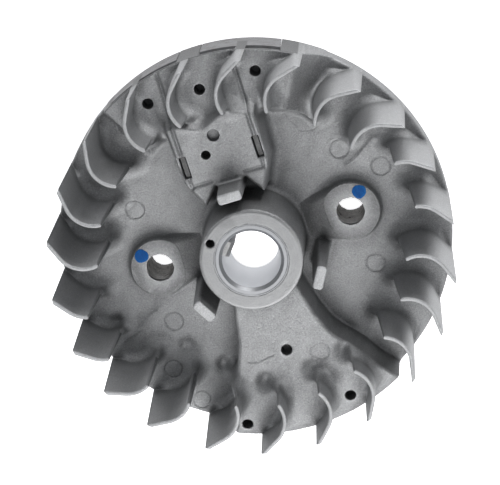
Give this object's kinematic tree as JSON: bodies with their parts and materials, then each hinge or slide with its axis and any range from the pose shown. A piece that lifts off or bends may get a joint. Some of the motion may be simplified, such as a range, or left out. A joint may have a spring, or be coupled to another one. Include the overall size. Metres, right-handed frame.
{
  "type": "engine flywheel",
  "caption": "Cast aluminium engine flywheel with a ring of curved fan blades, tapered keyed bore, two tapped clutch bosses and a laminated ignition magnet in the rim.",
  "frame": {"origin": "on the bore axis, in the plane of the two clutch bolt faces at the back, which the part rests on", "axes": "+Z along the bore axis towards the fan blades, +Y towards the magnet, +X towards the clutch bolt boss on the right when the magnet is at the top"},
  "size_m": [0.1068, 0.1068, 0.036],
  "materials": {
    "cast_aluminium": "die-cast, fine sandy matte",
    "turned_steel": "fine turned and reamed",
    "key_steel": "plain ground steel",
    "thread_wire": "coiled wire, slightly brown",
    "magnet": "plain sintered block, sealed in the casting",
    "pole_steel": "turned edges of stacked sheet steel",
    "rivet_steel": "plain",
    "blue_paint": "dabbed paint marks, satin"
  },
  "bodies": {
    "root": {"drive_key": "key_steel", "flywheel_casting": "cast_aluminium", "hub_insert": "turned_steel", "left_paint_mark": "blue_paint", "left_pole_plate": "pole_steel", "left_pole_sheet_01": "pole_steel", "left_pole_sheet_02": "pole_steel", "left_pole_sheet_03": "pole_steel", "left_pole_sheet_04": "pole_steel", "left_pole_sheet_05": "pole_steel", "left_pole_sheet_06": "pole_steel", "left_pole_sheet_07": "pole_steel", "left_pole_sheet_08": "pole_steel", "left_pole_sheet_09": "pole_steel", "left_pole_sheet_10": "pole_steel", "left_pole_sheet_11": "pole_steel", "left_thread_insert": "thread_wire", "magnet_block": "magnet", "pole_rivets": "rivet_steel", "right_paint_mark": "blue_paint", "right_pole_plate": "pole_steel", "right_pole_sheet_01": "pole_steel", "right_pole_sheet_02": "pole_steel", "right_pole_sheet_03": "pole_steel", "right_pole_sheet_04": "pole_steel", "right_pole_sheet_05": "pole_steel", "right_pole_sheet_06": "pole_steel", "right_pole_sheet_07": "pole_steel", "right_pole_sheet_08": "pole_steel", "right_pole_sheet_09": "pole_steel", "right_pole_sheet_10": "pole_steel", "right_pole_sheet_11": "pole_steel", "right_thread_insert": "thread_wire"}
  },
  "joints": []
}
